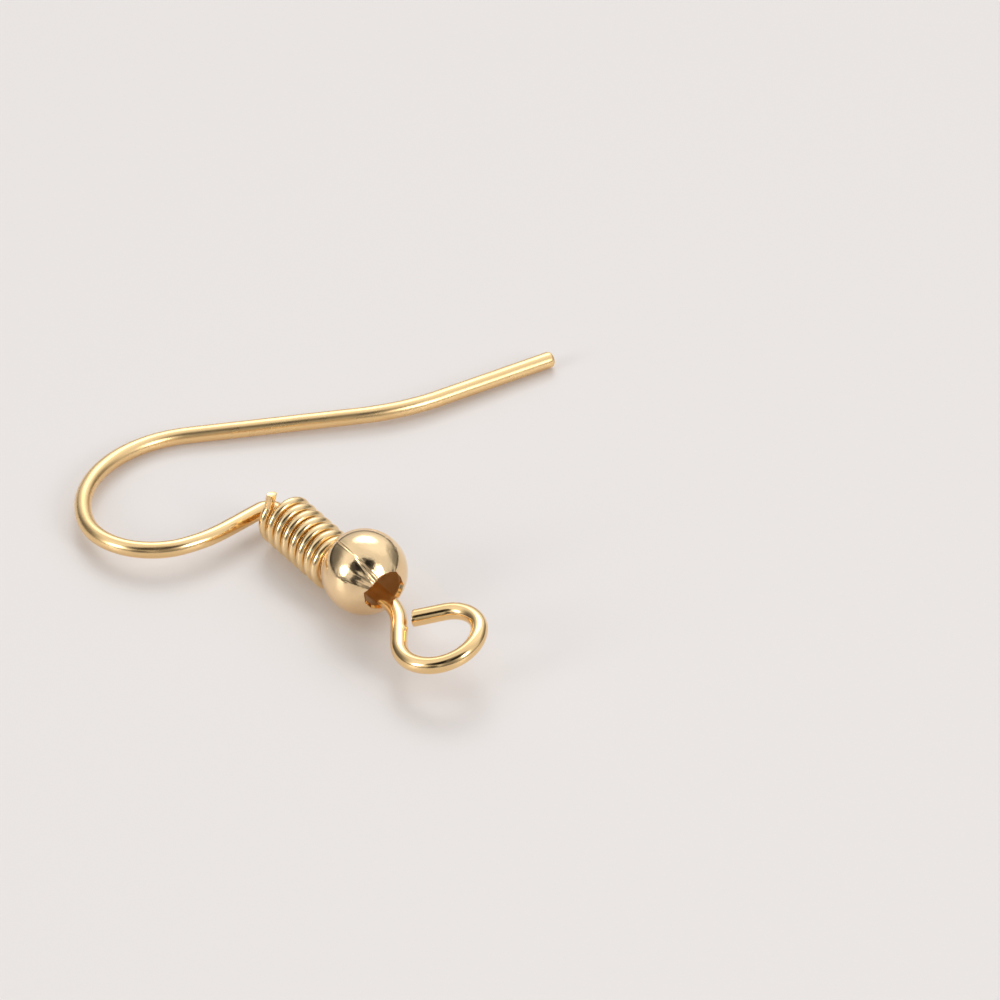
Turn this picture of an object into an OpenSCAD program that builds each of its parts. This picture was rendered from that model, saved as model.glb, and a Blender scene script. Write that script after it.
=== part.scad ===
// Ear wire lying on a table: one bent round wire, with a loose wire coil and a loose hollow bead
// threaded on its straight core between the kink and the eye loop.
// X runs along the leg towards the tip, Z is up, and the table is at Z = 0.

/* [Hook wire] */
// Diameter of the hook's wire
wire_d = 0.6; // [0.5:0.05:0.7]
// Straight neck, measured from the sharp corner of the kink
neck_len = 2.1; // [1.6:0.1:2.6]
// Radius of the slow bend after the neck, on the wire's centre line
neck_bend_r = 5; // [4:0.5:7]
// Angle of that slow bend
neck_bend_a = 19.3; // [14:0.1:24]
// Radius of the tight lower part of the ear bow
low_bow_r = 2.5; // [2.1:0.1:3]
// Angle of the lower part of the ear bow
low_bow_a = 99.1; // [90:0.1:106]
// Radius of the wider upper part of the ear bow
high_bow_r = 4.23; // [3.8:0.01:5]
// Angle of the upper part of the ear bow
high_bow_a = 96.2; // [90:0.1:102]
// Straight leg that passes through the ear
leg_len = 6.12; // [5:0.02:8]
// Radius of the outward flare near the tip
flare_r = 8; // [6:0.5:12]
// Angle of the flare
flare_a = 21.5; // [15:0.5:28]
// Straight tip after the flare
tip_len = 4.65; // [3.6:0.05:5.6]
// Rounding of the tip's end
tip_round = 0.15; // [0.05:0.05:0.2]

/* [Kink and eye loop] */
// Angle through which the wire turns at the kink
kink_a = 99.9; // [94:0.1:106]
// Radius of the kink on the wire's centre line
kink_r = 0.45; // [0.4:0.05:0.6]
// Radius of the crook that leads out of the bead
crook_r = 2.12; // [1.6:0.02:2.6]
// Angle of the crook
crook_a = 35.3; // [30:0.1:40]
// Straight stretch between the crook and the loop
throat_len = 1.01; // [0.8:0.01:1.3]
// Radius of the loop's first side
loop_near_r = 1.35; // [1.2:0.05:1.5]
// Angle of the loop's first side
loop_near_a = 99.3; // [94:0.1:104]
// Radius of the loop's far side
loop_far_r = 1.44; // [1.3:0.02:1.6]
// Angle of the loop's far side
loop_far_a = 77; // [72:1:82]
// Radius of the loop's closing side
loop_close_r = 1.15; // [1:0.05:1.3]
// Angle of the loop's closing side
loop_close_a = 96.8; // [92:0.1:100]
// Straight cut end that closes the loop
loop_end_len = 1.08; // [0.9:0.02:1.2]
// Turn of the whole eye loop about the core, out of the hook's plane
loop_twist = 13.8; // [8:0.1:20]

/* [Coil] */
// Outside diameter of the coil
coil_od = 2; // [1.9:0.05:2.3]
// Diameter of the coil's wire
coil_wire_d = 0.36; // [0.3:0.01:0.4]
// Distance from one turn to the next
coil_pitch = 0.45; // [0.42:0.005:0.55]
// Number of turns
coil_turns = 7.4; // [5:0.1:9]
// Direction in which the coil is wound
coil_hand = 1; // [1:Right-handed, -1:Left-handed]
// Free core between the kink's corner and the first turn
coil_lead = 1.12; // [0.95:0.01:1.3]
// Place of the first turn's start, counted round the coil from its far side over the top
coil_start_a = 138; // [120:1:160]
// Angle by which the cut tail is bent away from its turn
tail_kick = 33; // [20:1:40]
// Radius of the tail's bend on its centre line
tail_bend_r = 0.35; // [0.3:0.05:0.5]
// Straight length of the tail
tail_len = 0.52; // [0.3:0.02:0.7]
// Share of the coil's slack that lies to one side at the kink
coil_aside_kink = 0.95; // [0:0.05:0.95]
// Share of the coil's slack that lies to one side at the bead
coil_aside_bead = 0.45; // [0:0.05:0.95]

/* [Bead] */
// Outside diameter of the bead
bead_d = 3; // [2.8:0.1:3.6]
// Thickness of the bead's rolled wall
bead_wall = 0.3; // [0.2:0.02:0.4]
// Diameter of the bead's two mouths
mouth_d = 1.36; // [1.2:0.02:1.6]
// Depth of the chamfer round each mouth
mouth_lip = 0.12; // [0.05:0.01:0.15]
// Width of the seam groove from mouth to mouth
seam_w = 0.06; // [0.04:0.01:0.1]
// Depth of the seam groove
seam_depth = 0.08; // [0.04:0.01:0.1]
// Place of the seam, counted round the bead from its far side over the top
seam_a = 118; // [0:1:359]
// Angle from the lowest point of the bore at which the core lies
bead_lean = 12; // [0:1:30]

/* [Fit] */
// Gap left where the wire lies against the bead or the coil
lay_gap = 0.02; // [0.01:0.01:0.04]
// Gap between the coil's last turn and the bead
coil_bead_gap = 0.02; // [0.02:0.01:0.1]
// Straight core left between the bead and the crook
core_play = 0.25; // [0.15:0.01:0.4]

/* [Hidden] */
$fn = 64;

GOLD = [0.87, 0.73, 0.46];
PALE_GOLD = [0.89, 0.79, 0.58];

// Facets of the coil: steps in one turn and sides of its wire
COIL_STEPS = 20;
COIL_SIDES = 10;
// Steps of the tail's bend
TAIL_STEPS = 3;
// Angle between two samples of a bend, where extents are measured
SAMPLE_A = 1;
// Length by which a cut runs past what it cuts
CUT_PAST = 1;
// Straight pieces of wire run this far into the bends, which are thicker by a hair, so that the
// pieces overlap and don't only touch
JOIN_IN = 0.04;
JOIN_STEP = 0.004;
// Straight wire between two bends that follow each other
LAND = 0.02;

wire_r = wire_d / 2;
coil_mid_r = (coil_od - coil_wire_d) / 2;
bead_r = bead_d / 2;
mouth_r = mouth_d / 2;
mouth_half = sqrt(bead_r ^ 2 - mouth_r ^ 2);

// Free room between the core and what is threaded on it, on each side
coil_slack = coil_od / 2 - coil_wire_d - wire_r - lay_gap;
bead_slack = mouth_r - wire_r - lay_gap;

// A route is a table of pieces of wire in the hook's plane. A straight piece has no turn, and a
// turn to the left is positive.
LENGTH = 0;
RADIUS = 1;
TURN = 2;

// Straight wire that the kink's arc takes from each side of its corner
kink_trim = kink_r * tan(kink_a / 2);

OUTER_ROUTE = [
    // length, radius, turn
    [neck_len - kink_trim, 0, 0],
    [0, neck_bend_r, -neck_bend_a],
    [LAND, 0, 0],
    [0, low_bow_r, -low_bow_a],
    [LAND, 0, 0],
    [0, high_bow_r, -high_bow_a],
    [leg_len, 0, 0],
    [0, flare_r, flare_a],
    [tip_len, 0, 0],
];
TIP = len(OUTER_ROUTE) - 1;
HIGH_BOW = TIP - 3;

LOOP_ROUTE = [
    // length, radius, turn
    [0, crook_r, -crook_a],
    [throat_len, 0, 0],
    [0, loop_near_r, loop_near_a],
    [LAND, 0, 0],
    [0, loop_far_r, loop_far_a],
    [LAND, 0, 0],
    [0, loop_close_r, loop_close_a],
    [loop_end_len, 0, 0],
];

// Headings in the hook's plane, with the leg along X and the kink's corner at the origin
neck_heading = neck_bend_a + low_bow_a + high_bow_a - 360;
core_heading = neck_heading + 180 - kink_a;
function heading_vector(a) = [cos(a), sin(a), 0];
neck_dir = heading_vector(neck_heading);
core_dir = heading_vector(core_heading);

// A pose is [x, y, heading] of the centre line
function pose_at(p, heading) = [p.x, p.y, heading];
function step(pose, row) =
    let (h = pose[2], side = sign(row[TURN]), r = row[RADIUS], end = h + row[TURN])
    side == 0
        ? [pose.x + row[LENGTH] * cos(h), pose.y + row[LENGTH] * sin(h), h]
        : [pose.x + side * r * (sin(end) - sin(h)), pose.y + side * r * (cos(h) - cos(end)), end];
function pose_after(start, route, n) = n == 0 ? start : step(pose_after(start, route, n - 1), route[n - 1]);
function part_of(row, share) = [row[LENGTH] * share, row[RADIUS], row[TURN] * share];
function samples(start, route) = [
    for (i = [0:len(route) - 1])
        let (pose = pose_after(start, route, i), n = max(1, ceil(abs(route[i][TURN]) / SAMPLE_A)))
        for (k = [0:n]) step(pose, part_of(route[i], k / n))
];

outer_start = pose_at(neck_dir * kink_trim, neck_heading);
kink_start = pose_at(neck_dir * kink_trim, neck_heading + 180);

// Rotation of a point or direction about an axis through the origin
function spin(p, axis, a) = p * cos(a) + cross(axis, p) * sin(a) + axis * (axis * p) * (1 - cos(a));
function unit(v) = v / norm(v);

// Places of the coil and the bead along the core, from the kink's corner. The bead stands off by
// the furthest reach of the coil's last turn, which meets its ball or enters its mouth.
function turn_angle(t) = coil_start_a + coil_hand * 360 * t;
function turn_place(t) = coil_lead + coil_pitch * t;
function wire_to_axis(t) = norm([
    coil_mid_r * cos(turn_angle(t)) - coil_aside_bead * coil_slack - bead_slack * sin(bead_lean),
    coil_mid_r * sin(turn_angle(t)) + coil_od / 2 - bead_r
]);
function stand_off(off) =
    let (w = coil_wire_d / 2 + coil_bead_gap, rim = mouth_r - off)
    off * bead_r / (bead_r + w) >= mouth_r
        ? sqrt(max(0, (bead_r + w) ^ 2 - off ^ 2))
        : abs(rim) < w ? mouth_half + sqrt(w ^ 2 - rim ^ 2) : 0;
bead_at = max([
    for (k = [0:COIL_STEPS])
        let (t = coil_turns - k / COIL_STEPS)
        turn_place(t) + stand_off(wire_to_axis(t))
]);
core_len = bead_at + mouth_half + core_play;
core_start = pose_at(core_dir * kink_trim, core_heading);
loop_start = pose_at(core_dir * core_len, core_heading);

// The wire lies on the tip's end and on the upper bow: their common tangent is the line of contact
tip_pose = pose_after(outer_start, OUTER_ROUTE, TIP + 1);
tip_point = [tip_pose.x, tip_pose.y, 0];
bow_pose = pose_after(outer_start, OUTER_ROUTE, HIGH_BOW);
bow_centre = [bow_pose.x, bow_pose.y, 0] + high_bow_r * heading_vector(bow_pose[2] - 90);
to_bow = bow_centre - tip_point;
contact_heading = atan2(to_bow.y, to_bow.x) - asin(high_bow_r / norm(to_bow));
contact_dir = heading_vector(contact_heading);
contact_side = heading_vector(contact_heading + 90);

// The core lifts the hook off the table, on the bead's bore or on the inside of the coil
function core_to_contact(s) = contact_side * (core_dir * s - tip_point);
bead_lift = bead_r - bead_slack * cos(bead_lean) - wire_r;
coil_lift = coil_wire_d + lay_gap;
lie_a = max(asin(bead_lift / core_to_contact(bead_at)), asin(coil_lift / core_to_contact(coil_lead)));

// From the hook's plane to the table, before the part is centred
function laid(p) = spin(p - tip_point, contact_dir, lie_a) + tip_point + [0, 0, wire_r];
core_lie = spin(core_dir, contact_dir, lie_a);
core_azimuth = atan2(core_lie.y, core_lie.x);
near_side = heading_vector(core_azimuth - 90);

core_at_bead = laid(core_dir * bead_at);
bead_height = max(bead_r, core_at_bead.z - bead_slack);
bead_aside = core_at_bead - near_side * bead_slack * sin(bead_lean);
bead_centre = [bead_aside.x, bead_aside.y, bead_height];

// The coil lies on the table too, unless the core holds it up
function coil_axis_point(s, share) =
    let (core = laid(core_dir * s), height = max(coil_od / 2, core.z - coil_slack), lift = height - core.z)
    [core.x, core.y, height] + near_side * share * sqrt(max(0, coil_slack ^ 2 - lift ^ 2));
coil_len = coil_pitch * coil_turns;
coil_from = coil_axis_point(coil_lead, coil_aside_kink);
coil_lie = unit(coil_axis_point(coil_lead + coil_len, coil_aside_bead) - coil_from);

// Extents of the laid wire, from samples of its centre line
function lie_wire(pose, twist) = [
    laid(spin([pose.x, pose.y, 0], core_dir, twist)),
    spin(spin(heading_vector(pose[2]), core_dir, twist), contact_dir, lie_a)
];
wire_samples = concat(
    [for (pose = samples(outer_start, OUTER_ROUTE)) lie_wire(pose, 0)],
    [for (pose = samples(loop_start, LOOP_ROUTE)) lie_wire(pose, loop_twist)]
);
function reach(sample, i) = wire_r * sqrt(max(0, 1 - sample[1][i] ^ 2));
function low(i) = min(concat([bead_centre[i] - bead_r], [for (s = wire_samples) s[0][i] - reach(s, i)]));
function high(i) = max(concat([bead_centre[i] + bead_r], [for (s = wire_samples) s[0][i] + reach(s, i)]));
middle = [(low(0) + high(0)) / 2, (low(1) + high(1)) / 2, 0];

// Points along the coil's wire, from the tail's cut end to the last turn, with the coil's axis on Z
tail_heading = coil_start_a - 90 * coil_hand;
tail_turn = coil_hand * tail_kick;
tail_slope = coil_pitch / (2 * PI * coil_mid_r);
function turn_point(t) = [coil_mid_r * cos(turn_angle(t)), coil_mid_r * sin(turn_angle(t)), coil_pitch * t];
function tail_pose(share) =
    step(pose_at(turn_point(0), tail_heading), [0, tail_bend_r, tail_turn * share]);
tail_arc = tail_bend_r * tail_kick * PI / 180;
tail_end = step(tail_pose(1), [tail_len, 0, 0]);
coil_path = concat(
    [[tail_end.x, tail_end.y, -tail_slope * (tail_arc + tail_len)]],
    [
        for (k = [TAIL_STEPS:-1:1])
            let (pose = tail_pose(k / TAIL_STEPS))
            [pose.x, pose.y, -tail_slope * tail_arc * k / TAIL_STEPS]
    ],
    [for (k = [0:ceil(coil_turns * COIL_STEPS)]) turn_point(min(k / COIL_STEPS, coil_turns))]
);

// Round tube along a path whose bends lie mostly across Z
module tube(path, r, sides) {
    last = len(path) - 1;
    points = [
        for (i = [0:last])
            let (
                along = unit(path[min(i + 1, last)] - path[max(i - 1, 0)]),
                up = unit([0, 0, 1] - along * along.z),
                across = cross(up, along)
            )
            for (k = [0:sides - 1])
                path[i] + r * (across * cos(360 * k / sides) + up * sin(360 * k / sides))
    ];
    walls = [
        for (i = [0:last - 1], k = [0:sides - 1])
            let (a = i * sides + k, b = i * sides + (k + 1) % sides)
            each [[a, a + sides, b + sides], [a, b + sides, b]]
    ];
    first_cap = [for (k = [0:sides - 1]) k];
    last_cap = [for (k = [sides - 1:-1:0]) last * sides + k];
    polyhedron(points, concat(walls, [first_cap, last_cap]));
}

// Straight wire along X, which runs past its end by as much as it needs there
module straight(length, past) {
    rotate([0, 90, 0])
        translate([0, 0, -JOIN_IN])
            cylinder(h = JOIN_IN + length + past, r = wire_r);
}

module left_bend(radius, turn) {
    translate([0, radius, 0])
        rotate([0, 0, -90])
            rotate_extrude(angle = turn)
                translate([radius, 0])
                    circle(r = wire_r + JOIN_STEP);
}

module bend(radius, turn) {
    if (turn < 0)
        mirror([0, 1, 0])
            left_bend(radius, -turn);
    else
        left_bend(radius, turn);
}

module at_pose(pose) {
    translate([pose.x, pose.y, 0])
        rotate([0, 0, pose[2]])
            children();
}

module wire_piece(row, past) {
    if (row[TURN] == 0)
        straight(row[LENGTH], past);
    else
        bend(row[RADIUS], row[TURN]);
}

// Pieces of a route up to the one named last, which ends flush if it has a free end
module route_wire(start, route, last, free_end = false) {
    for (i = [0:last])
        at_pose(pose_after(start, route, i))
            wire_piece(route[i], free_end && i == last ? 0 : JOIN_IN);
}

// Straight tip with a rounded end
module round_tip() {
    rotate([0, 90, 0])
        rotate_extrude() {
            translate([0, -JOIN_IN]) {
                square([wire_r - tip_round, JOIN_IN + tip_len]);
                square([wire_r, JOIN_IN + tip_len - tip_round]);
            }
            translate([wire_r - tip_round, tip_len - tip_round])
                circle(r = tip_round);
        }
}

// From the hook's plane to its lie on the table
module lay_down() {
    translate([0, 0, wire_r] + tip_point - middle)
        rotate(a = lie_a, v = contact_dir)
            translate(-tip_point)
                children();
}

// Places a shape so that its Z axis runs along a direction
module along(dir) {
    rotate([0, acos(dir.z), atan2(dir.y, dir.x)])
        rotate([0, 0, 90])
            children();
}

module ear_hook() {
    color(GOLD)
        lay_down() {
            route_wire(outer_start, OUTER_ROUTE, TIP - 1);
            at_pose(pose_after(outer_start, OUTER_ROUTE, TIP))
                round_tip();
            at_pose(kink_start)
                bend(kink_r, -kink_a);
            at_pose(core_start)
                straight(core_len - kink_trim, JOIN_IN);
            rotate(a = loop_twist, v = core_dir)
                route_wire(loop_start, LOOP_ROUTE, len(LOOP_ROUTE) - 1, free_end = true);
        }
}

module coil() {
    color(GOLD)
        translate(coil_from - middle)
            along(coil_lie)
                tube(coil_path, coil_wire_d / 2, COIL_SIDES);
}

module bead() {
    color(PALE_GOLD)
        translate(bead_centre - middle)
            along(core_lie)
                difference() {
                    sphere(d = bead_d);
                    sphere(d = bead_d - 2 * bead_wall);
                    cylinder(h = bead_d + CUT_PAST, d = mouth_d, center = true);
                    for (end = [0, 180])
                        rotate([end, 0, 0])
                            translate([0, 0, mouth_half - mouth_lip])
                                cylinder(h = CUT_PAST, r1 = mouth_r, r2 = mouth_r + CUT_PAST);
                    rotate([0, 0, seam_a])
                        difference() {
                            translate([0, -seam_w / 2, -bead_r])
                                cube([bead_d, seam_w, bead_d]);
                            sphere(r = bead_r - seam_depth);
                        }
                }
}

ear_hook();
coil();
bead();
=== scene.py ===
# %% [markdown]
# # A gold-plated ear wire on a white table
#
# The object is a fish-hook ear wire, 18 mm across: one bent round wire that ends in an eye loop,
# with a loose coil of thin wire and a loose hollow ball threaded on it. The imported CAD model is
# the frame: it says where each piece is. This script gives each piece its smooth surface and its
# plating, and sets up the table, the light and the camera.

import bpy
import numpy as np
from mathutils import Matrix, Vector


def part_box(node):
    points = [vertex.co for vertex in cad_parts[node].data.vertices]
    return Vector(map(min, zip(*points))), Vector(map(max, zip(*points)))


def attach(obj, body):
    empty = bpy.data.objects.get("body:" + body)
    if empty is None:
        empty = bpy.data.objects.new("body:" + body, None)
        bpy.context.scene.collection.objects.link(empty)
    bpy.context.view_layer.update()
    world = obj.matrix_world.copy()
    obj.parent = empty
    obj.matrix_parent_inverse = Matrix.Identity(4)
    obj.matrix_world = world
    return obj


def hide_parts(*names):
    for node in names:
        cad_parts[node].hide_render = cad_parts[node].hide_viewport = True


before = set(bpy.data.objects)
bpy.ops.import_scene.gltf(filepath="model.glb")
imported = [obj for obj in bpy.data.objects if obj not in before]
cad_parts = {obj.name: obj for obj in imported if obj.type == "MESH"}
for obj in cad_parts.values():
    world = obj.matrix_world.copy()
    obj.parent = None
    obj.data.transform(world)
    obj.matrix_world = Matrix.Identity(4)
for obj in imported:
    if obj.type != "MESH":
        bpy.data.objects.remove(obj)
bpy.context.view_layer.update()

# %% [markdown]
# ## Sizes
#
# All lengths below are the real ones in millimetres, the same as in the CAD source. A maker bends
# the wire piece by piece, so a route is a table of pieces: a straight length, or an arc with a
# radius and a turn. One number, MM, turns millimetres to Blender's metres at the very end.

# %% Sizes in millimetres, angles in degrees
MM = 0.001
SHY = 0.005  # the surfaces keep this far inside the solids
LAY_GAP = 0.02  # between pieces that lie against each other
LAND = 0.02  # straight bit between two arcs
WIRE_R = 0.3
NECK, KINK_TURN, KINK_R = 2.1, 99.9, 0.45
CORE_LEN = 7.3708  # from the kink's corner to the crook
LOOP_TWIST = 13.8  # turn of the eye loop about the core
BEAD_R, MOUTH_R, BEAD_LEAN = 1.5, 0.68, 12
BEAD_AT = 5.78379  # middle of the ball, from the kink's corner

KINK_TRIM = KINK_R * np.tan(np.radians(KINK_TURN / 2))
OUTER_ROUTE = [  # length, radius, turn
    (NECK - KINK_TRIM, 0, 0),
    (0, 5.0, -19.3),
    (LAND, 0, 0),
    (0, 2.5, -99.1),
    (LAND, 0, 0),
    (0, 4.23, -96.2),
    (6.12, 0, 0),
    (0, 8.0, 21.5),
    (4.65, 0, 0),
]
HIGH_BOW, LEG = 5, 6  # rows of the upper bow and of the straight leg, which runs along X
HIGH_BOW_R = OUTER_ROUTE[HIGH_BOW][1]
LOOP_ROUTE = [  # length, radius, turn
    (0, 2.12, -35.3),
    (1.01, 0, 0),
    (0, 1.35, 99.3),
    (LAND, 0, 0),
    (0, 1.44, 77.0),
    (LAND, 0, 0),
    (0, 1.15, 96.8),
    (1.08, 0, 0),
]
NECK_HEADING = -sum(turn for _, _, turn in OUTER_ROUTE[:LEG]) - 360
CORE_HEADING = NECK_HEADING + 180 - KINK_TURN
print(len(OUTER_ROUTE), "pieces from kink to tip,", len(LOOP_ROUTE), "in crook and loop")

# %% [markdown]
# ## The wire's centre line
#
# Bending wire on pins gives straights and circular arcs that run on without a corner. That could
# be drawn with curve objects, but a computed line keeps the exact radii, and the same line later
# carries the wire's surface. Every piece of the route is sampled evenly, as whole arrays.

# %% Walk along a route
UP = np.array([0.0, 0.0, 1.0])


def heading(angle):
    """Unit vector in the plane of the hook at that angle in degrees."""
    a = np.radians(angle)
    return np.array([np.cos(a), np.sin(a), 0.0])


def walk(start, angle, rows, spacing):
    """Points and directions along a route. On a straight the point is the start plus the length
    times the heading. On an arc the heading grows in step with the length, and the point is the
    arc's centre plus its radius turned by the heading."""
    points, directions = [], []
    for length, radius, turn in rows:
        run = length if turn == 0 else radius * abs(np.radians(turn))
        share = np.linspace(0, 1, max(2, int(np.ceil(run / spacing)) + 1))
        if turn == 0:
            angles = np.full(share.shape, float(angle))
            here = start + share[:, None] * length * heading(angle)
        else:
            side = np.sign(turn)
            angles = angle + share * turn
            centre = start + side * radius * heading(angle + 90)
            out = np.radians(angles - side * 90)
            ring = np.stack([np.cos(out), np.sin(out), 0 * out], axis=1)
            here = centre + radius * ring
        a = np.radians(angles)
        points.append(here[:-1])
        directions.append(np.stack([np.cos(a), np.sin(a), 0 * a], axis=1)[:-1])
        start, angle = here[-1], angles[-1]
    points.append(start[None])
    directions.append(heading(angle)[None])
    return np.concatenate(points), np.concatenate(directions), angle


def spin(points, axis, angle):
    """Rotation of points about an axis through the origin: the part along the axis stays, and the
    part across it turns by the angle."""
    a = np.radians(angle)
    kept = (points @ axis)[..., None] * axis
    return points * np.cos(a) + np.cross(axis, points) * np.sin(a) + kept * (1 - np.cos(a))


def unit(v):
    """Each vector divided by its own length."""
    return v / np.linalg.norm(v, axis=-1, keepdims=True)


NECK_DIR, CORE_DIR = heading(NECK_HEADING), heading(CORE_HEADING)
outer_start = NECK_DIR * KINK_TRIM
outer_p, outer_t, _ = walk(outer_start, NECK_HEADING, OUTER_ROUTE, 0.06)
kink_p, kink_t, _ = walk(outer_start, NECK_HEADING + 180, [(0, KINK_R, -KINK_TURN)], 0.03)
core_p, core_t, _ = walk(CORE_DIR * KINK_TRIM, CORE_HEADING, [(CORE_LEN - KINK_TRIM, 0, 0)], 0.1)
loop_p, loop_t, _ = walk(CORE_DIR * CORE_LEN, CORE_HEADING, LOOP_ROUTE, 0.04)
print("samples on the outer route", len(outer_p), "and on the loop", len(loop_p))

# %% [markdown]
# ## How the hook lies
#
# Nothing holds a flat hook that has a ball on it: it tilts until its tip and the back of its bow
# touch the table. That contact line is the common tangent of the tip and the upper bow, and the
# ball's bore lifts the core by a known height, so the tilt follows from one right triangle.

# %% The tilt of the hook and its place on the table
bow_start, _, bow_heading = walk(outer_start, NECK_HEADING, OUTER_ROUTE[:HIGH_BOW], 1)
bow_centre = bow_start[-1] + HIGH_BOW_R * heading(bow_heading - 90)
tip_point = outer_p[-1]
to_bow = bow_centre - tip_point
contact_angle = np.degrees(
    np.arctan2(to_bow[1], to_bow[0]) - np.arcsin(HIGH_BOW_R / np.linalg.norm(to_bow))
)
contact_dir, contact_side = heading(contact_angle), heading(contact_angle + 90)
bead_slack = MOUTH_R - WIRE_R - LAY_GAP
bead_lift = BEAD_R - bead_slack * np.cos(np.radians(BEAD_LEAN)) - WIRE_R
lie = np.degrees(np.arcsin(bead_lift / (contact_side @ (CORE_DIR * BEAD_AT - tip_point))))


def laid(points):
    """The hook's plane tilted about the contact line and raised by the wire's radius."""
    return spin(points - tip_point, contact_dir, lie) + tip_point + np.array([0, 0, WIRE_R])


def tilted(directions):
    """The same tilt for directions, which aren't raised."""
    return spin(directions, contact_dir, lie)


core_lie = tilted(CORE_DIR)
near_side = heading(np.degrees(np.arctan2(core_lie[1], core_lie[0])) - 90)
core_at_bead = laid(CORE_DIR * BEAD_AT)
bead_centre = core_at_bead - near_side * bead_slack * np.sin(np.radians(BEAD_LEAN))
bead_centre[2] = max(BEAD_R, core_at_bead[2] - bead_slack)

loop_p, loop_t = (spin(v, CORE_DIR, LOOP_TWIST) for v in (loop_p, loop_t))
line_p = laid(np.concatenate([outer_p, loop_p]))
line_t = tilted(np.concatenate([outer_t, loop_t]))
reach = WIRE_R * np.sqrt(np.clip(1 - line_t**2, 0, 1))
low = np.minimum((line_p - reach).min(0), bead_centre - BEAD_R)
high = np.maximum((line_p + reach).max(0), bead_centre + BEAD_R)
middle = np.array([(low[0] + high[0]) / 2, (low[1] + high[1]) / 2, 0])
print("tilt", round(lie, 3), "degrees; middle", middle.round(4), "mm; bead", bead_centre.round(4))

# %% [markdown]
# ## From a grid of points to a mesh
#
# Each surface here is a grid: rows along the piece and columns round it. Building the faces from
# index arrays is quick, and it also gives the UV map, which is kept in millimetres so that a
# pattern such as drawing lines has its real size. The mesh is closed, and its signed volume, the
# sum of its triangles' wedges from the origin, tells whether the faces point outwards.

# %% Grid mesh helper
def grid_mesh(name, grid, u, v, closed_rows=False):
    """Mesh of a grid of points with rows along the piece and columns round it. Columns always
    close on themselves. Rows close too, as on a ring, or each end gets a fan to its middle. u
    holds one value per column and v one per row, each with one more where they close."""
    rows, cols = grid.shape[:2]
    i = np.arange(rows if closed_rows else rows - 1)
    j = np.arange(cols)
    ii, jj = (a.ravel() for a in np.meshgrid(i, j, indexing="ij"))
    next_i, next_j = (ii + 1) % rows, (jj + 1) % cols
    corners = [ii * cols + jj, ii * cols + next_j, next_i * cols + next_j, next_i * cols + jj]
    loops = [np.stack(corners, axis=1).ravel()]
    sizes = [np.full(len(ii), 4)]
    uv = [np.stack([
        np.stack([u[jj], v[ii]], 1), np.stack([u[jj + 1], v[ii]], 1),
        np.stack([u[jj + 1], v[ii + 1]], 1), np.stack([u[jj], v[ii + 1]], 1),
    ], axis=1).reshape(-1, 2)]
    points = grid.reshape(-1, 3)
    if not closed_rows:
        ends = np.stack([grid[0].mean(0), grid[-1].mean(0)])
        first, last = len(points), len(points) + 1
        points = np.concatenate([points, ends])
        base = (rows - 1) * cols
        following = (j + 1) % cols
        loops.append(np.stack([np.full(cols, first), following, j], 1).ravel())
        loops.append(np.stack([np.full(cols, last), base + j, base + following], 1).ravel())
        for row in (0, -1):
            sizes.append(np.full(cols, 3))
            uv.append(np.stack([u[:-1], u[1:], u[1:]], 1).ravel()[:, None] * [1, 0] + [0, v[row]])
    loops, sizes, uv = (np.concatenate(part) for part in (loops, sizes, uv))

    starts = np.concatenate([[0], np.cumsum(sizes)[:-1]])
    # each face is cut into wedges from its first corner, and a triangle's second wedge is empty
    a, b, c, d = (points[loops[starts + k]] for k in (0, 1, 2, sizes - 1))
    volume = (a * (np.cross(b, c) + np.cross(c, d))).sum() / 6
    if volume < 0:
        order = np.concatenate([np.arange(s + n - 1, s - 1, -1) for s, n in zip(starts, sizes)])
        loops, uv = loops[order], uv[order]

    mesh = bpy.data.meshes.new(name)
    mesh.vertices.add(len(points))
    mesh.vertices.foreach_set("co", (points * MM).astype(np.float32).ravel())
    mesh.loops.add(len(loops))
    mesh.loops.foreach_set("vertex_index", loops.astype(np.int32))
    mesh.polygons.add(len(sizes))
    mesh.polygons.foreach_set("loop_start", starts.astype(np.int32))
    layer = mesh.uv_layers.new(name="millimetres")
    layer.data.foreach_set("uv", uv.astype(np.float32).ravel())
    mesh.update(calc_edges=True)
    mesh.validate()
    mesh.shade_smooth()
    piece = bpy.data.objects.new(name, mesh)
    bpy.context.scene.collection.objects.link(piece)
    print(f"{name}: {len(sizes)} faces, {abs(volume):.2f} cubic mm")
    return piece

# %% [markdown]
# ## A profile carried along a line
#
# A wire's surface is its round section, carried along its centre line. Blender's curve bevel does
# that too, but here the section may change from ring to ring, as handwork changes it.

# %% Profile, length and bell curve
def sweep(points, directions, normals, offsets):
    """Rings of a profile carried along a line: each ring's point is the line's point plus the
    profile's two offsets, one along the normal and one across it, which is the cross product of
    the normal and the direction."""
    across = np.cross(normals, directions)
    return (points[:, None] + offsets[..., 0, None] * across[:, None]
            + offsets[..., 1, None] * normals[:, None])


def along(points):
    """Length run along a line at each of its points."""
    steps = np.linalg.norm(np.diff(points, axis=0), axis=1)
    return np.concatenate([[0], np.cumsum(steps)])


def bump(x, width):
    """Bell curve: 1 at zero, falling away over the width on each side."""
    return np.exp(-((x / width) ** 2))

# %% [markdown]
# ## The hook's wire
#
# The hook is drawn brass wire: round, 0.6 mm thick, filed round at the tip that goes through the
# ear, and snipped flat at the end of the eye loop. A curve with a bevel would make the tube, but
# not its two ends, the faint flats that pliers leave, or the small nub in the crook's throat.
# So a circle is carried along the computed line, with rings closer together at the ends.

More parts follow.
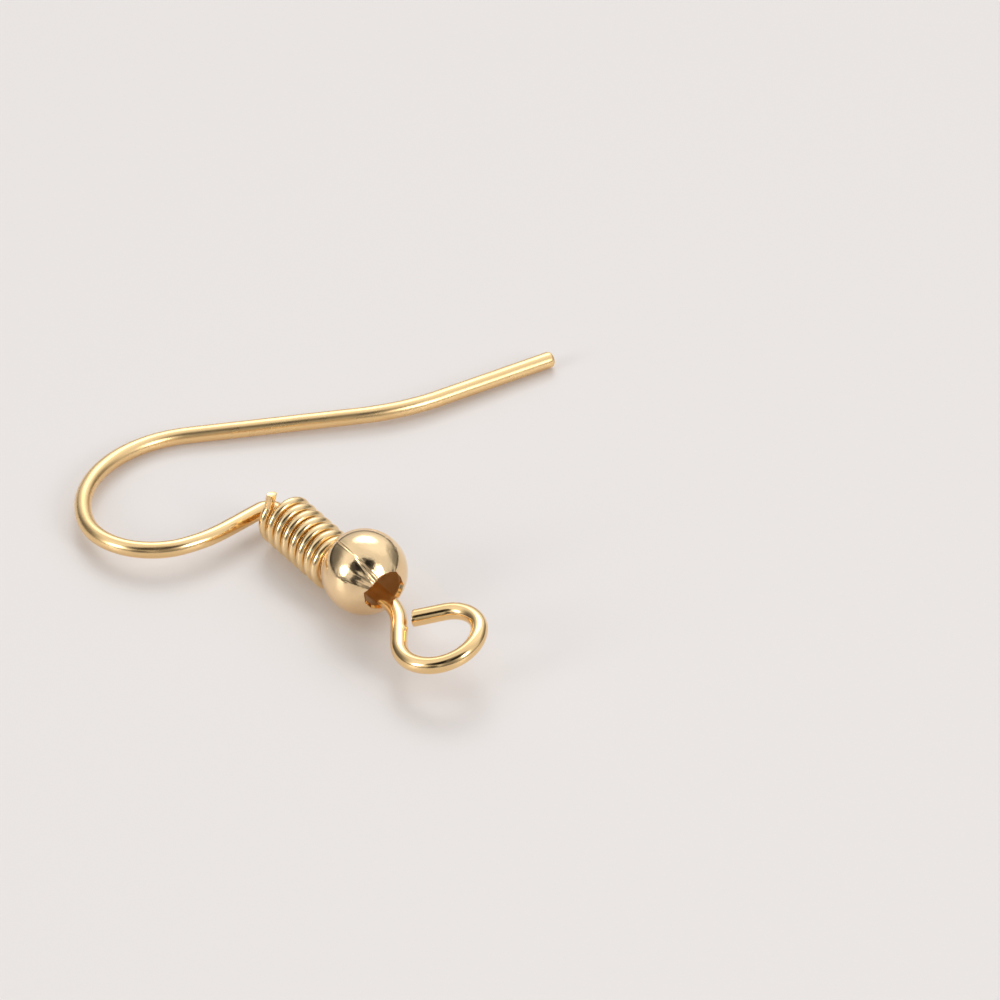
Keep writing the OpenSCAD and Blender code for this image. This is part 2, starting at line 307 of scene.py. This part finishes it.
# %% Line of the hook, from the tip to the loop's end
SIDES, TIP_RINGS = 48, 9
TIP_ROUND = 0.15
CUT_STEPS = np.array([0.0, 0.006, 0.014, 0.024])
PAST_TIP, BEFORE_CUT = 0.03, 0.05  # no other rings this close to those of the ends


def resample(values, at, new_at):
    """Rows of a table read off at new lengths: each column is interpolated by itself."""
    return np.stack([np.interp(new_at, at, column) for column in values.T], axis=1)


line = np.concatenate([outer_p[::-1], kink_p[1:-1], core_p, loop_p[1:]])
dirs = np.concatenate([-outer_t[::-1], kink_t[1:-1], core_t, loop_t[1:]])
# the loop is turned about the core, and the wire's normal eases into that turn along the core
ease = np.linspace(0, 1, len(core_p))[:, None]
twist = np.radians(LOOP_TWIST * ease**2 * (3 - 2 * ease))
normals = np.concatenate([
    np.tile(UP, (len(outer_p) + len(kink_p) - 2, 1)),
    np.cos(twist) * UP + np.sin(twist) * np.cross(CORE_DIR, UP),
    np.tile(spin(UP, CORE_DIR, LOOP_TWIST), (len(loop_p) - 1, 1)),
])

# the filed tip follows a quarter circle, which needs rings close together
length = along(line)
total = length[-1]
tip_steps = TIP_ROUND * (1 - np.cos(np.linspace(0, np.pi / 2, TIP_RINGS)))
inner = (length > TIP_ROUND + PAST_TIP) & (length < total - BEFORE_CUT)
fine = np.concatenate([tip_steps, length[inner], total - CUT_STEPS[::-1]])
line, dirs, normals = (resample(part, length, fine) for part in (line, dirs, normals))
dirs, normals = unit(dirs), unit(normals)
print("the hook takes", round(total, 2), "mm of wire, in", len(fine), "rings")

# %% [markdown]
# ## Handwork on the wire
#
# Pliers press a bend a little flat on its inside, drawing leaves waves of about a micrometre, and
# the end that closed the loop has left a nub on the throat. Sculpting would do for one of them.
# Here each is a change of the radius, given by the length along the wire and the angle round it,
# so that it stays in its place when a size changes.

# %% Surface of the hook
WAVE_DEEP, CUT_ROUND, CUT_SKEW = 0.0012, 0.02, 14
OUTER_LEN = along(outer_p)[-1]
loop_s = total - along(loop_p)[-1]
FLATS = [  # length along the wire, depth, half its own length
    (OUTER_LEN + KINK_R * np.radians(KINK_TURN) / 2, 0.012, 0.45),
    (loop_s + 0.6, 0.010, 0.5),
]
NUB_AT, NUB_HIGH, NUB_HALF = loop_s + 1.70, 0.035, 0.13
NUB_ANGLE, NUB_SPREAD = 0.35, 0.5  # radians round the wire


def wrap(angle):
    """Angle brought to within half a turn of zero."""
    return (angle + np.pi) % (2 * np.pi) - np.pi


a = np.linspace(0, 2 * np.pi, SIDES, endpoint=False)
s = fine[:, None]
radius = np.full((len(fine), SIDES), WIRE_R - SHY)
into_tip = np.clip(TIP_ROUND - s, 0, TIP_ROUND)
radius -= TIP_ROUND - np.sqrt(TIP_ROUND**2 - into_tip**2)
into_cut = np.clip(CUT_STEPS[-1] - (total - s), 0, None)
radius -= CUT_ROUND * (into_cut / CUT_STEPS[-1]) ** 2
wave = np.sin(2.1 * s + 0.4 + np.cos(a)) + 0.7 * np.sin(4.7 * s + 2 * np.sin(a + 1.1))
radius += WAVE_DEEP * wave * (into_tip == 0)
for flat_s, deep, half in FLATS:
    radius -= deep * bump(s - flat_s, half) * np.clip(-np.cos(a), 0, 1) ** 2
radius += NUB_HIGH * bump(s - NUB_AT, NUB_HALF) * bump(wrap(a - NUB_ANGLE), NUB_SPREAD)

offsets = radius[..., None] * np.stack([np.cos(a), np.sin(a)], axis=1)
rings = sweep(line, dirs, normals, offsets)
# the snipped end isn't quite square to the wire
cut = slice(-len(CUT_STEPS), None)
rings[cut] += np.tan(np.radians(CUT_SKEW)) * offsets[cut, :, :1] * dirs[cut, None]
hook_uv = (np.linspace(0, 2 * np.pi * WIRE_R, SIDES + 1), fine)
hook = grid_mesh("hook_wire", laid(rings) - middle, *hook_uv)

# %% [markdown]
# ## The coil
#
# The coil is thin wire wound close on a rod, cut off the spool, and pushed over the core. Its
# first end stands off as a short tail, which the cutters have pinched. A screw modifier can wind
# a coil, but the tail, the open winding and the pinch are simpler on one computed helix.

# %% Line of the coil
COIL_OD, COIL_WIRE_D, COIL_PITCH, COIL_TURNS = 2.0, 0.36, 0.45, 7.4
COIL_LEAD, COIL_START = 1.12, 138  # from the kink's corner, and the winding's first angle
ASIDE_KINK, ASIDE_BEAD = 0.95, 0.45  # shares of its slack by which each end lies aside
TAIL_KICK, TAIL_BEND_R, TAIL_LEN, TAIL_LEAN = 33, 0.35, 0.52, 0.10
END_CLOSE = 0.085  # the last turn closes up by this, to stay off the ball as the coil turns
COIL_STEPS, TAIL_STEP = 90, 0.02
coil_r = (COIL_OD - COIL_WIRE_D) / 2
coil_slack = COIL_OD / 2 - COIL_WIRE_D - WIRE_R - LAY_GAP


def coil_axis(s, share):
    """Point on the coil's axis: on the table, and to the near side of the core by its slack."""
    core = laid(CORE_DIR * s)
    height = max(COIL_OD / 2, core[2] - coil_slack)
    aside = np.sqrt(max(0, coil_slack**2 - (height - core[2]) ** 2))
    return np.array([core[0], core[1], height]) + near_side * share * aside


coil_from = coil_axis(COIL_LEAD, ASIDE_KINK)
coil_to = coil_axis(COIL_LEAD + COIL_PITCH * COIL_TURNS, ASIDE_BEAD)
coil_lie = unit(coil_to - coil_from)

tail_p, _, _ = walk(coil_r * heading(COIL_START), COIL_START - 90,
                    [(0, TAIL_BEND_R, TAIL_KICK), (TAIL_LEN, 0, 0)], TAIL_STEP)
slope = COIL_PITCH / (2 * np.pi * coil_r)
tail_run = along(tail_p)
tail_p[:, 2] = TAIL_LEAN * (tail_run / tail_run[-1]) ** 2 - slope * tail_run
t = np.linspace(0, COIL_TURNS, int(COIL_TURNS * COIL_STEPS) + 1)
turn = np.radians(COIL_START) + 2 * np.pi * t
last = np.clip(t - COIL_TURNS + 1, 0, 1)
climb = COIL_PITCH * t - END_CLOSE * last**2 * (3 - 2 * last)
helix = np.stack([coil_r * np.cos(turn), coil_r * np.sin(turn), climb], axis=1)
line = np.concatenate([tail_p[::-1], helix[1:]])
length = along(line)
print("the coil takes", round(length[-1], 2), "mm of wire; it starts at", coil_from.round(3))

# %% Surface of the coil
COIL_SIDES = 28
END_STEPS, BY_END = np.array([0.0, 0.004, 0.010, 0.02]), 0.03
END_ROUND, COIL_WAVE, WAVE_FROM = 0.02, 0.0015, 0.6
PINCH_LEN, PINCH_WIDER, PINCH_THINNER = 0.35, 0.20, 0.35
inner = (length > BY_END) & (length < length[-1] - BY_END)
fine = np.concatenate([END_STEPS, length[inner], length[-1] - END_STEPS[::-1]])
line = resample(line, length, fine)
dirs = unit(np.gradient(line, fine, axis=0))
normals = unit(UP - dirs * dirs[:, 2:])

a = np.linspace(0, 2 * np.pi, COIL_SIDES, endpoint=False)
s = fine[:, None]
into_end = 1 - np.clip(np.minimum(s, fine[-1] - s) / END_STEPS[-1], 0, 1)
r = COIL_WIRE_D / 2 - SHY - END_ROUND * (1 - np.sqrt(1 - into_end**2))
r = r + COIL_WAVE * np.sin(3.1 * s + 2 * np.cos(a)) * np.clip(s - WAVE_FROM, 0, 1)
pinch = np.clip(1 - s / PINCH_LEN, 0, 1) ** 2
offsets = np.stack([
    r * np.cos(a) * (1 + PINCH_WIDER * pinch), r * np.sin(a) * (1 - PINCH_THINNER * pinch),
], axis=-1)
rings = sweep(line, dirs, normals, offsets)


def place(points, centre, direction):
    """Local axes turned so that local Z runs along the direction and local X is level, with the
    centre then put on the table."""
    level = unit(np.cross(UP, direction))
    axes = np.stack([level, np.cross(direction, level), direction])
    return points @ axes + centre - middle


coil_uv = (np.linspace(0, np.pi * COIL_WIRE_D, COIL_SIDES + 1), fine)
coil = grid_mesh("coil_winding", place(rings, coil_from, coil_lie), *coil_uv)

# %% [markdown]
# ## The ball
#
# A hollow ball like this is rolled from thin sheet: its two edges meet in a seam from mouth to
# mouth, and the metal puckers where it is drawn in round each mouth. A UV sphere with a hole cut
# in it has none of that. Here the wall's section is one closed outline of outside, far mouth,
# inside and near mouth, and it is carried round the ball's axis.

# %% Section of the ball's wall
BEAD_WALL = 0.3
THINNER, THINNER_REACH = 0.14, 0.35  # the wall is thinner by this at the mouths
OUTER_ROWS, LIP_ROWS, BORE_ROWS, INNER_ROWS = 150, 8, 5, 70
LIP_OUT, LIP_DEEP, LIP_EDGE = 0.078, 0.12, 0.008
FAR_WIDER = 0.02  # the far mouth is wider by this, so that the coil's end passes it
rim_angle = np.arcsin((MOUTH_R + LIP_OUT) / BEAD_R)
inner_r = BEAD_R - BEAD_WALL + THINNER
bore_angle = np.arcsin(MOUTH_R / inner_r)
rim_z, bore_z = BEAD_R * np.cos(rim_angle), inner_r * np.cos(bore_angle)


def mouth(bore_r):
    """Cone from the rim down to the bore, then the bore itself, both as straight lines."""
    first, last = (MOUTH_R + LIP_OUT, rim_z - LIP_EDGE), (bore_r, rim_z - LIP_DEEP)
    return np.concatenate([
        np.linspace(first, last, LIP_ROWS), np.linspace(last, (bore_r, bore_z), BORE_ROWS)[1:],
    ])


polar = rim_angle + (np.pi - 2 * rim_angle) * (1 - np.cos(np.linspace(0, np.pi, OUTER_ROWS))) / 2
outer = (BEAD_R - SHY) * np.stack([np.sin(polar), np.cos(polar)], axis=1)
polar_in = np.linspace(bore_angle, np.pi - bore_angle, INNER_ROWS)[1:-1]
hollow = inner_r - THINNER * (1 - bump(np.abs(np.cos(polar_in)) - 1, THINNER_REACH))
inside = np.stack([hollow * np.sin(polar_in), hollow * np.cos(polar_in)], axis=1)
flip = np.array([1, -1])
section = np.concatenate([
    outer, mouth(MOUTH_R + FAR_WIDER) * flip, inside[::-1], mouth(MOUTH_R)[::-1],
])
rho, z = section[:, :1], section[:, 1:]
print("section of", len(section), "points, rim at", rim_z.round(3), "mm from the middle")

# %% Angles round the ball, closer together at the seam
SEAM = 118
ROUND_STEPS, SEAM_STEPS, SEAM_FROM, SEAM_TO, SEAM_CLEAR = 200, 90, -14, 24, 0.9
even = np.linspace(0, 360, ROUND_STEPS, endpoint=False)
close = SEAM + np.linspace(SEAM_FROM, SEAM_TO, SEAM_STEPS)
apart = (even < close[0] - SEAM_CLEAR) | (even > close[-1] + SEAM_CLEAR)
phi = np.unique(np.concatenate([even[apart], close]))
phi_r = np.radians(phi)[None]
print(len(phi), "angles round the ball")

# %% [markdown]
# ## Marks of rolling and drawing in
#
# The seam is a fine groove between two raised edges, with a nick that runs off it, two creases
# and puckers by the mouth, and soft dents all over. A displacement texture could draw them, but
# the mesh itself should have them too, so they are a height in millimetres on the outside:
# bell curves across the lines, and slow waves for the dents.

# %% Height of the marks
SEAM_LINES = [  # height, distance from the seam, width
    (-0.020, 0, 0.016), (0.006, 0.045, 0.03), (0.006, -0.045, 0.03),
]
NICK_FROM, NICK_LEAN = 0.43, 21
NICK_LINES = [  # height, distance from the nick, width, length in which it grows
    (0.016, 0, 0.022, 0.2), (-0.008, 0.055, 0.028, 0.25),
]
CREASES = [  # height, degrees past the seam, width, place along the axis, length
    (0.012, 22, 0.05, 1.15, 0.25), (-0.012, 32, 0.05, 1.10, 0.22),
]
PUCKERS = [(1, 9, 0.7), (0.8, 14, 2.2), (0.6, 23, 0)]  # share, waves round the ball, phase
PUCKER_HIGH, PUCKER_REACH, PUCKER_LEAST = 0.005, 0.10, 0.25
PUCKER_PAST, PUCKER_WIDE = 40, 0.5
DENT_HIGH, FINE_DENT_HIGH, FINE_DENT_FADE = 0.0025, 0.0007, 0.4


def beside(angle):
    """Distance in millimetres, round the ball, from a meridian at that angle."""
    return np.maximum(rho, 0.1) * wrap(phi_r - np.radians(angle))


height = sum(high * bump(beside(SEAM) - off, wide) for high, off, wide in SEAM_LINES)
nick_z = np.clip(z - NICK_FROM, 0, None)
nick = beside(SEAM + NICK_LEAN * nick_z**2)
for high, off, wide, grow in NICK_LINES:
    height += high * bump(nick - off, wide) * np.clip(nick_z / grow, 0, 1)
for high, past, wide, at, long in CREASES:
    height += high * bump(beside(SEAM + past), wide) * bump(z - at, long)
to_rim = np.clip(rim_z - np.abs(z), 0, None)
pucker = sum(share * np.sin(waves * phi_r + phase) for share, waves, phase in PUCKERS)
height += (PUCKER_HIGH * pucker * bump(to_rim, PUCKER_REACH)
           * (PUCKER_LEAST + bump(beside(SEAM + PUCKER_PAST), PUCKER_WIDE)))
dents = np.sin(3 * phi_r + 1.5 * z) * np.sin(2.2 * z + 0.6) + 0.6 * np.sin(5 * phi_r - 2.6 * z)
fine_dents = np.sin(17 * phi_r + 5 * z) * np.sin(11 * z + 1.3) + np.sin(26 * phi_r - 9 * z + 2)
height += DENT_HIGH * dents + FINE_DENT_HIGH * fine_dents * np.clip(z / FINE_DENT_FADE, 0, 1)
height[OUTER_ROWS:] = 0
print("marks from", height.min().round(3), "to", height.max().round(3), "mm")

# %% [markdown]
# ## The near mouth
#
# Drawing the metal in left the near mouth a polygon. Its corners are a short table of angles and
# radii, and the radius at any other angle is where the ray at that angle meets the side between
# two corners. The rows near the rim are then turned along the sphere to that radius, so that the
# ball stays round. The core lies off the ball's axis, so nothing may come nearer to the axis than
# the core reaches, or a turning ball would cut into it.

# %% Surface of the ball
RIM = np.array([  # angle in degrees, radius in mm
    (-190, 0.85), (-161, 0.85), (-135, 0.82), (-107, 0.76), (-54, 0.83), (-14, 0.80),
    (48, 0.71), (74, 0.68), (147, 0.68), (170, 0.85), (199, 0.85),
])
RIM_REACH, CORE_CLEAR = 0.30, 0.003
wrapped = (phi + 180) % 360 - 180
corner = np.searchsorted(RIM[:, 0], wrapped)
(a0, r0), (a1, r1) = RIM[corner - 1].T, RIM[corner].T
b0, b1 = np.radians(wrapped - a0), np.radians(a1 - wrapped)
rim_r = (r0 * r1 * np.sin(b0 + b1) / (r0 * np.sin(b0) + r1 * np.sin(b1)))[None]
near_rim = np.where(z > 0, bump(to_rim, RIM_REACH), 0)
rim_shift = (np.arcsin(rim_r / BEAD_R) - rim_angle) * near_rim
radial = 1 + height / BEAD_R
ring_r = (rho * np.cos(rim_shift) + z * np.sin(rim_shift)) * radial
ring_z = (z * np.cos(rim_shift) - rho * np.sin(rim_shift)) * radial
ring_r = np.maximum(ring_r, bead_slack + WIRE_R + CORE_CLEAR)
ball = np.stack([ring_r * np.cos(phi_r), ring_r * np.sin(phi_r), ring_z], axis=-1)
ball_uv = (np.radians(np.concatenate([phi, [phi[0] + 360]])) * BEAD_R,
           along(np.concatenate([section, section[:1]])))
bead = grid_mesh("bead_shell", place(ball, bead_centre, core_lie), *ball_uv, closed_rows=True)

# %% [markdown]
# ## Which piece stands for which solid
#
# Each surface replaces its CAD solid in the picture and rides on that solid's body, so that the
# coil and the ball turn with their joints.

# %% Tie the pieces to the frame
for piece, node, body, slot in (
    (hook, "ear_hook", "hook", "hook_wire"),
    (coil, "coil", "coil", "coil_wire"),
    (bead, "bead", "bead", "bead_shell"),
):
    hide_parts(node)
    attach(piece, body)
    low_c, high_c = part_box(node)
    co = np.empty(len(piece.data.vertices) * 3, np.float32)
    piece.data.vertices.foreach_get("co", co)
    co = co.reshape(-1, 3)
    print(node, "off the CAD box by, in mm,",
          ((co.min(0) - low_c) / MM).round(3), ((co.max(0) - high_c) / MM).round(3))

# %% [markdown]
# ## Gold plating
#
# The wire is polished gold plating over brass: a metal, so its colour is all in its reflections.
# Drawing leaves fine lines along the wire, and polishing leaves soft patches where it is a little
# hazier. Both are far too small to model, so they are a bump and a roughness. The lines read the
# UV map, which is in millimetres: 30 or more to a millimetre on wire, as the dies leave them, and
# 16 on the rolled sheet. The ball has small crinkles as well, by the near mouth. The ear side of
# the hook is a little duller than the rest, because the photograph shows it softer.

# %% Node helpers
def linear(hex_colour):
    """sRGB hex to linear: each channel is divided by 255 and raised by the sRGB curve."""
    c = np.array([int(hex_colour[k:k + 2], 16) for k in (1, 3, 5)]) / 255
    c = np.where(c <= 0.04045, c / 12.92, ((c + 0.055) / 1.055) ** 2.4)
    return (*c, 1.0)


def add(tree, kind, links=(), **settings):
    """Adds one node. A setting is an input's name or a property, and links are pairs of an input
    and the socket that feeds it."""
    node = tree.nodes.new(kind)
    for key, value in settings.items():
        name = key.replace("_", " ")
        if name in node.inputs:
            node.inputs[name].default_value = value
        else:
            setattr(node, key, value)
    for target, source in links:
        tree.links.new(node.inputs[target], source)
    return node


def new_material(name):
    """Material without nodes, and its node tree."""
    material = bpy.data.materials.new(name)
    material.use_nodes = True
    material.node_tree.nodes.clear()
    return material, material.node_tree

# %% Plating
CRINKLE_SIZE = 0.16  # in millimetres
LINE_PER_MM = 0.25  # along the piece, so that a line is some millimetres long
FADE_FROM = 0.7  # share of the length until which softer and crinkle hold their full value


def plating(name, colour, shade, smooth, hazy, line_depth, line_across, haze_size,
            metallic=1.0, softer=0.0, crinkle=0.0, until=1.0):
    """Polished plating on metal. colour is the clean metal and shade its hazier patches. smooth
    and hazy are roughness, line_depth is the lines' depth in millimetres, line_across their
    count per millimetre and haze_size the size of a hazy patch in millimetres. softer is added
    to the roughness, and crinkle is a depth in millimetres of small dents: both fade out along
    the piece, from its start to the length until."""
    material, tree = new_material(name)
    uv = add(tree, "ShaderNodeUVMap", uv_map="millimetres")
    place_uv = add(tree, "ShaderNodeMapping", [("Vector", uv.outputs["UV"])],
                   Scale=(line_across, LINE_PER_MM, 1.0))
    lines = add(tree, "ShaderNodeTexNoise", [("Vector", place_uv.outputs["Vector"])],
                noise_dimensions="2D", Scale=1.0, Detail=2.0, Roughness=0.6)
    spot = add(tree, "ShaderNodeTexCoord")
    haze = add(tree, "ShaderNodeTexNoise", [("Vector", spot.outputs["Object"])],
               Scale=1 / (haze_size * MM), Detail=5.0, Roughness=0.62)
    rough = add(tree, "ShaderNodeMapRange", [("Value", haze.outputs["Fac"])],
                From_Min=0.35, From_Max=0.7, To_Min=smooth, To_Max=hazy)
    split_uv = add(tree, "ShaderNodeSeparateXYZ", [("Vector", uv.outputs["UV"])])
    worn = add(tree, "ShaderNodeMapRange", [("Value", split_uv.outputs["Y"])],
               From_Min=FADE_FROM * until, From_Max=until, To_Min=1.0, To_Max=0.0)
    soft = add(tree, "ShaderNodeMath", [(0, worn.outputs["Result"])], operation="MULTIPLY")
    soft.inputs[1].default_value = softer
    rough = add(tree, "ShaderNodeMath", [(0, rough.outputs["Result"]), (1, soft.outputs["Value"])],
                operation="ADD")
    tint = add(tree, "ShaderNodeMix", [(0, haze.outputs["Fac"])], data_type="RGBA")
    tint.inputs["A"].default_value = linear(colour)
    tint.inputs["B"].default_value = linear(shade)
    relief = add(tree, "ShaderNodeBump", [("Height", lines.outputs["Fac"])],
                 Strength=1.0, Distance=line_depth * MM)
    if crinkle:
        small = add(tree, "ShaderNodeTexNoise", [("Vector", spot.outputs["Object"])],
                    Scale=1 / (CRINKLE_SIZE * MM), Detail=2.0, Roughness=0.5)
        dented = add(tree, "ShaderNodeMath",
                     [(0, small.outputs["Fac"]), (1, worn.outputs["Result"])],
                     operation="MULTIPLY")
        relief = add(tree, "ShaderNodeBump",
                     [("Height", dented.outputs["Value"]), ("Normal", relief.outputs["Normal"])],
                     Strength=1.0, Distance=crinkle * MM)
    shader = add(tree, "ShaderNodeBsdfPrincipled",
                 [("Base Color", tint.outputs[2]), ("Roughness", rough.outputs["Value"]),
                  ("Normal", relief.outputs["Normal"])], Metallic=metallic)
    add(tree, "ShaderNodeOutputMaterial", [("Surface", shader.outputs["BSDF"])])
    return material

# %% Finishes of the three pieces
hook.data.materials.append(plating(
    "polished gold plating on drawn brass wire", "#FFDEA6", "#F7CF93",
    smooth=0.11, hazy=0.19, line_depth=0.0004, line_across=30, haze_size=1.2,
    softer=0.14, until=OUTER_LEN))
coil.data.materials.append(plating(
    "polished gold plating on thin brass wire", "#FFE3B2", "#FAD8A0",
    smooth=0.17, hazy=0.27, line_depth=0.0005, line_across=36, haze_size=0.7))
bead.data.materials.append(plating(
    "pale gold plating on rolled brass sheet", "#FFE1B4", "#FBDAA8",
    smooth=0.06, hazy=0.20, line_depth=0.0010, line_across=16, haze_size=0.6,
    crinkle=0.006, until=1.7))
bead.data.materials.append(plating(
    "dulled brass inside the ball", "#FFE8BE", "#FCD28E",
    smooth=0.35, hazy=0.5, line_depth=0.002, line_across=12, haze_size=0.5, metallic=0.1))
rows, cols = ball.shape[:2]
row = np.arange(rows)
inner_rows = np.repeat((row >= OUTER_ROWS + LIP_ROWS - 1) & (row < rows - LIP_ROWS), cols)
bead.data.polygons.foreach_set("material_index", inner_rows.astype(np.int32))
for piece in (hook, coil, bead):
    print(piece.name, [material.name for material in piece.data.materials])

# %% [markdown]
# ## Table
#
# The table is a smooth coated white board. Its faint gloss gives the soft warm reflection right
# under the wire. Such a board also takes light in and gives it back from within, which makes its
# shadows pale and warm. Real scattering below the surface takes long to render, so a weak warm
# glow of the whole board stands in for it.

# %% The white board
TABLE_HALF = 1.2
GRAIN_SIZE, GRAIN_DEEP = 0.25, 0.004
table_mesh = bpy.data.meshes.new("table")
table_mesh.from_pydata(
    [(x * TABLE_HALF, y * TABLE_HALF, 0) for x, y in ((-1, -1), (1, -1), (1, 1), (-1, 1))],
    [], [(0, 1, 2, 3)])
table = bpy.data.objects.new("table", table_mesh)
bpy.context.scene.collection.objects.link(table)
board, tree = new_material("matt coated white board")
spot = add(tree, "ShaderNodeTexCoord")
grain = add(tree, "ShaderNodeTexNoise", [("Vector", spot.outputs["Object"])],
            Scale=1 / (GRAIN_SIZE * MM), Detail=4.0, Roughness=0.6)
relief = add(tree, "ShaderNodeBump", [("Height", grain.outputs["Fac"])],
             Strength=0.5, Distance=GRAIN_DEEP * MM)
shader = add(tree, "ShaderNodeBsdfPrincipled", [("Normal", relief.outputs["Normal"])],
             Base_Color=linear("#D8D5D4"), Roughness=0.38, IOR=1.45,
             Emission_Color=linear("#FFEDE0"), Emission_Strength=0.12)
add(tree, "ShaderNodeOutputMaterial", [("Surface", shader.outputs["BSDF"])])
table_mesh.materials.append(board)
print("board", 2 * TABLE_HALF, "m wide")

# %% [markdown]
# ## Camera
#
# The photograph was taken from 38 degrees above the table with a long lens, from about 300 mm.
# The camera's place was worked out by fitting the bent wire's line to the picture.

# %% The camera
CAMERA_UP, CAMERA_AWAY, VIEW_ANGLE = 38.0, 300.0, 6.647
PART_TURN, PART_SHIFT = 9.642, np.array([-5.43868, -2.46132, 0.0])
aim = spin(-PART_SHIFT, UP, -PART_TURN)
rise = np.radians(CAMERA_UP)
toward = spin(np.array([0.0, -np.cos(rise), np.sin(rise)]), UP, -PART_TURN)
camera_data = bpy.data.cameras.new("camera")
camera_data.angle = np.radians(VIEW_ANGLE)
camera_data.clip_start = 0.01
camera = bpy.data.objects.new("camera", camera_data)
bpy.context.scene.collection.objects.link(camera)
camera.location = Vector((aim + CAMERA_AWAY * toward) * MM)
camera.rotation_euler = Vector(-toward).to_track_quat("-Z", "Y").to_euler()
bpy.context.scene.camera = camera
print("camera at", (np.array(camera.location) / MM).round(1), "mm")

# %% [markdown]
# ## Light
#
# Polished metal shows the whole room, so the light is planned as what the metal sees. Lamps could
# be bare squares, but their hard edges would show in the ball. These are ellipses that fade to
# their rim: a big one behind the object and 45 degrees up, and one on each side of the camera.
# Each is given by the direction in which it stands, as the camera sees it.

# %% Softboxes
LAMP_AWAY = 500
LAMPS = [  # name, azimuth, elevation, width, height, watts
    ("softbox_back", 3, 45, 500, 310, 0.78),
    ("softbox_left", -119, 23, 230, 300, 0.90),
    ("softbox_right", 129, 30, 200, 290, 0.90),
]
FADE_INNER, FADE_OUTER = 0.22, 0.5  # shares of the lamp's size between which it fades


def toward_way(azimuth, elevation):
    """Unit vector towards an azimuth, 0 straight behind the object as the camera sees it and 90
    to the right, and an elevation."""
    az, el = np.radians(azimuth), np.radians(elevation)
    way = np.array([np.sin(az) * np.cos(el), np.cos(az) * np.cos(el), np.sin(el)])
    return spin(way, UP, -PART_TURN)


def softbox(name, azimuth, elevation, width, tall, strength):
    """Elliptical lamp, half a metre away, that faces the object. Its light fades to its edge by
    a smooth step of the distance from its middle, in shares of its size."""
    data = bpy.data.lights.new(name, "AREA")
    data.shape = "ELLIPSE"
    data.size, data.size_y = width * MM, tall * MM
    data.energy = strength
    data.use_nodes = True
    tree = data.node_tree
    glow = next(n for n in tree.nodes if n.type == "EMISSION")
    on_lamp = add(tree, "ShaderNodeNewGeometry")
    from_middle = add(tree, "ShaderNodeVectorMath", [(0, on_lamp.outputs["Parametric"])],
                      operation="DISTANCE")
    from_middle.inputs[1].default_value = (0.5, 0.5, 0.0)
    fall = add(tree, "ShaderNodeMapRange", [("Value", from_middle.outputs["Value"])],
               interpolation_type="SMOOTHSTEP", From_Min=FADE_INNER, From_Max=FADE_OUTER,
               To_Min=1.0, To_Max=0.0)
    tree.links.new(glow.inputs["Strength"], fall.outputs["Result"])
    lamp = bpy.data.objects.new(name, data)
    bpy.context.scene.collection.objects.link(lamp)
    way = toward_way(azimuth, elevation)
    lamp.location = Vector(way * LAMP_AWAY * MM)
    lamp.rotation_euler = Vector(-way).to_track_quat("-Z", "Y").to_euler()
    return lamp


for lamp in LAMPS:
    softbox(*lamp)
print(len(LAMPS), "lamps,", sum(lamp[-1] for lamp in LAMPS), "watts in all")

# %% [markdown]
# ## Room
#
# Between the lamps the metal shows the walls and the ceiling. A picture of a studio could be
# wrapped round the scene, but a few numbers do the same and can be tuned one by one: a ramp from
# a dark skirting to a pale ceiling, times a table of places. A share below one is something dark,
# such as the camera and its stand, and above one a paler part of the room.

# %% The room
world = bpy.data.worlds.new("studio_room")
bpy.context.scene.world = world
world.use_nodes = True
tree = world.node_tree
tree.nodes.clear()
spot = add(tree, "ShaderNodeTexCoord")
split = add(tree, "ShaderNodeSeparateXYZ", [("Vector", spot.outputs["Generated"])])
ramp = add(tree, "ShaderNodeValToRGB", [("Fac", split.outputs["Z"])])
stops = [  # height as the sine of the elevation, level
    (0.0, 0.10), (0.05, 0.15), (0.17, 0.74), (0.38, 0.92), (0.70, 1.00), (1.0, 1.04),
]
while len(ramp.color_ramp.elements) < len(stops):
    ramp.color_ramp.elements.new(0.5)
for stop, (where, grey) in zip(ramp.color_ramp.elements, stops):
    stop.position = where
    stop.color = (grey, grey, grey, 1)


def facing(way, near, far, share):
    """Factor by the angle from a direction: the share inside near degrees and 1 outside far
    degrees, with a smooth step of the angle's cosine in between."""
    dot = add(tree, "ShaderNodeVectorMath", [(0, spot.outputs["Generated"])],
              operation="DOT_PRODUCT")
    dot.inputs[1].default_value = Vector(way)
    return add(tree, "ShaderNodeMapRange", [("Value", dot.outputs["Value"])],
               interpolation_type="SMOOTHSTEP",
               From_Min=float(np.cos(np.radians(far))), From_Max=float(np.cos(np.radians(near))),
               To_Min=1.0, To_Max=share).outputs["Result"]


PLACES = [  # azimuth, elevation, near, far, share of the room's level
    (180, 55, 18, 27, 0.18),
    (-150, 49, 15, 20, 0.08),
    (148, 54, 13, 18, 0.12),
    (-66, 10, 12, 40, 0.20),
    (62, 8, 10, 30, 0.40),
    (-158, 15, 7, 16, 0.10),
    (30, 40, 12, 48, 1.35),
    (165, 20, 8, 24, 0.40),
    (-90, 20, 10, 60, 1.25),
]
level = ramp.outputs["Color"]
for azimuth, elevation, near, far, share in PLACES:
    place_level = facing(toward_way(azimuth, elevation), near, far, share)
    level = add(tree, "ShaderNodeMath", [(0, level), (1, place_level)],
                operation="MULTIPLY").outputs["Value"]
room = add(tree, "ShaderNodeBackground", [("Strength", level)])
add(tree, "ShaderNodeOutputWorld", [("Surface", room.outputs["Background"])])
bpy.context.scene.view_settings.view_transform = "Standard"
print("a room with", len(PLACES), "dark or pale places")
